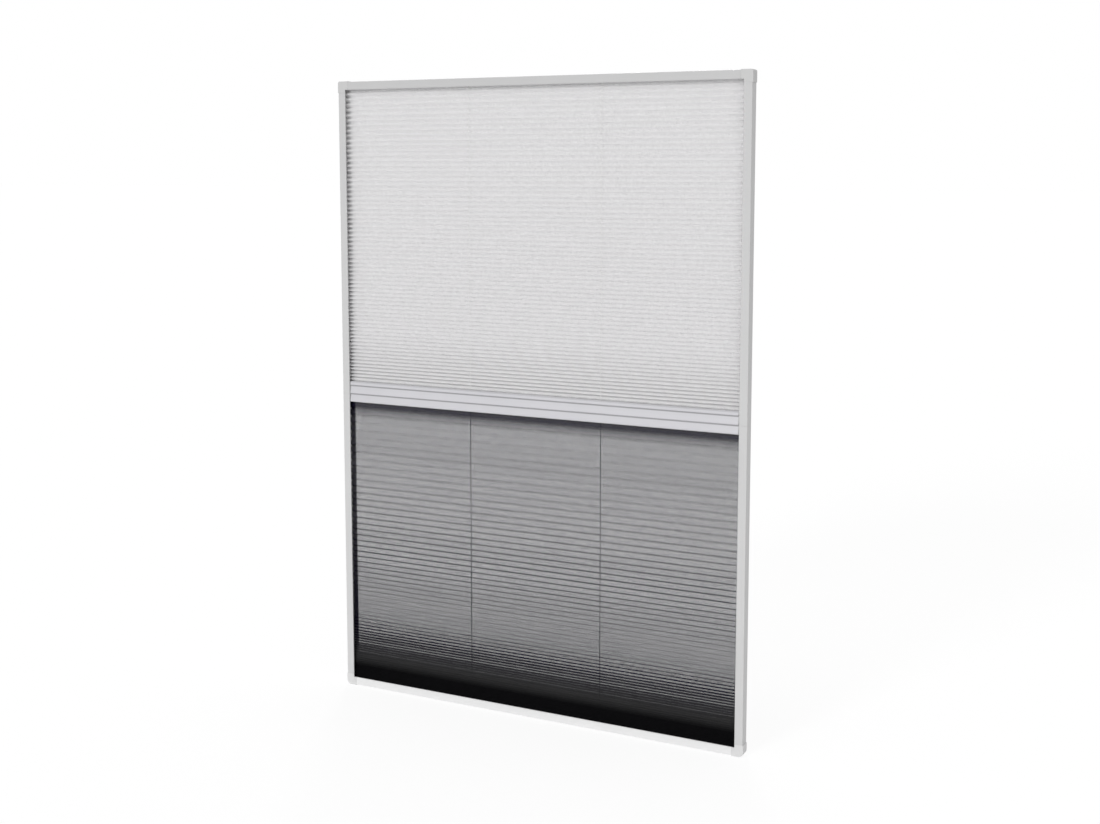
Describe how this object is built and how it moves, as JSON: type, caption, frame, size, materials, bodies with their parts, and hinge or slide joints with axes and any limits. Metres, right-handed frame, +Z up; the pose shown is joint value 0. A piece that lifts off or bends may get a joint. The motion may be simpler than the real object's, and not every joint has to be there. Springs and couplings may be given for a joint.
{
  "type": "pleated window screen frame",
  "caption": "Framed window screen with a pleated sun shade above, a pleated insect mesh below and a sliding bar between them that sets how much of each is drawn.",
  "frame": {"origin": "under the middle of the frame, level with its lowest edge and half way through its depth", "axes": "+X across the window to the right seen from the room, +Y through the frame to the window side, +Z up"},
  "size_m": [0.84, 0.02, 1.2],
  "materials": {
    "frame_coat": "white powder coat on aluminium, satin",
    "bar_coat": "white powder coat on aluminium, satin",
    "corner_plastic": "white moulded plastic, fine grain",
    "inner_plastic": "natural moulded plastic",
    "strip_plastic": "white extruded plastic",
    "slider_plastic": "white moulded plastic, smooth",
    "tube_plastic": "white moulded plastic, smooth",
    "shade_cloth": "white non-woven cloth, pleated",
    "mesh_cloth": "black insect mesh, pleated",
    "shade_cord": "thin braided cord, white",
    "mesh_cord": "thin braided cord, black"
  },
  "bodies": {
    "frame": {"top_rail": "frame_coat", "bottom_rail": "frame_coat", "left_jamb_upper": "frame_coat", "left_jamb_lower": "frame_coat", "right_jamb_upper": "frame_coat", "right_jamb_lower": "frame_coat", "corner_top_left": "corner_plastic", "corner_top_right": "corner_plastic", "corner_bottom_left": "corner_plastic", "corner_bottom_right": "corner_plastic", "jamb_splice_left": "inner_plastic", "jamb_splice_right": "inner_plastic", "shade_top_strip": "strip_plastic", "mesh_bottom_strip": "strip_plastic", "pleated_shade": "shade_cloth", "pleated_mesh": "mesh_cloth", "shade_cord_left": "shade_cord", "shade_cord_right": "shade_cord", "mesh_cord_left": "mesh_cord", "mesh_cord_right": "mesh_cord", "top_cord_anchors": "inner_plastic", "bottom_cord_anchors": "inner_plastic"},
    "bar": {"middle_bar": "bar_coat", "bar_slider_left": "slider_plastic", "bar_slider_right": "slider_plastic", "shade_bottom_strip": "strip_plastic", "mesh_top_strip": "strip_plastic", "bar_cord_tubes": "tube_plastic"}
  },
  "joints": [
    {"name": "bar_slide", "type": "slide", "parent": "frame", "child": "bar", "axis": [0, 0, 1], "range_m": [-0.519, 0.525], "deforming": ["pleated_shade", "pleated_mesh", "shade_cord_left", "shade_cord_right", "mesh_cord_left", "mesh_cord_right"]}
  ]
}
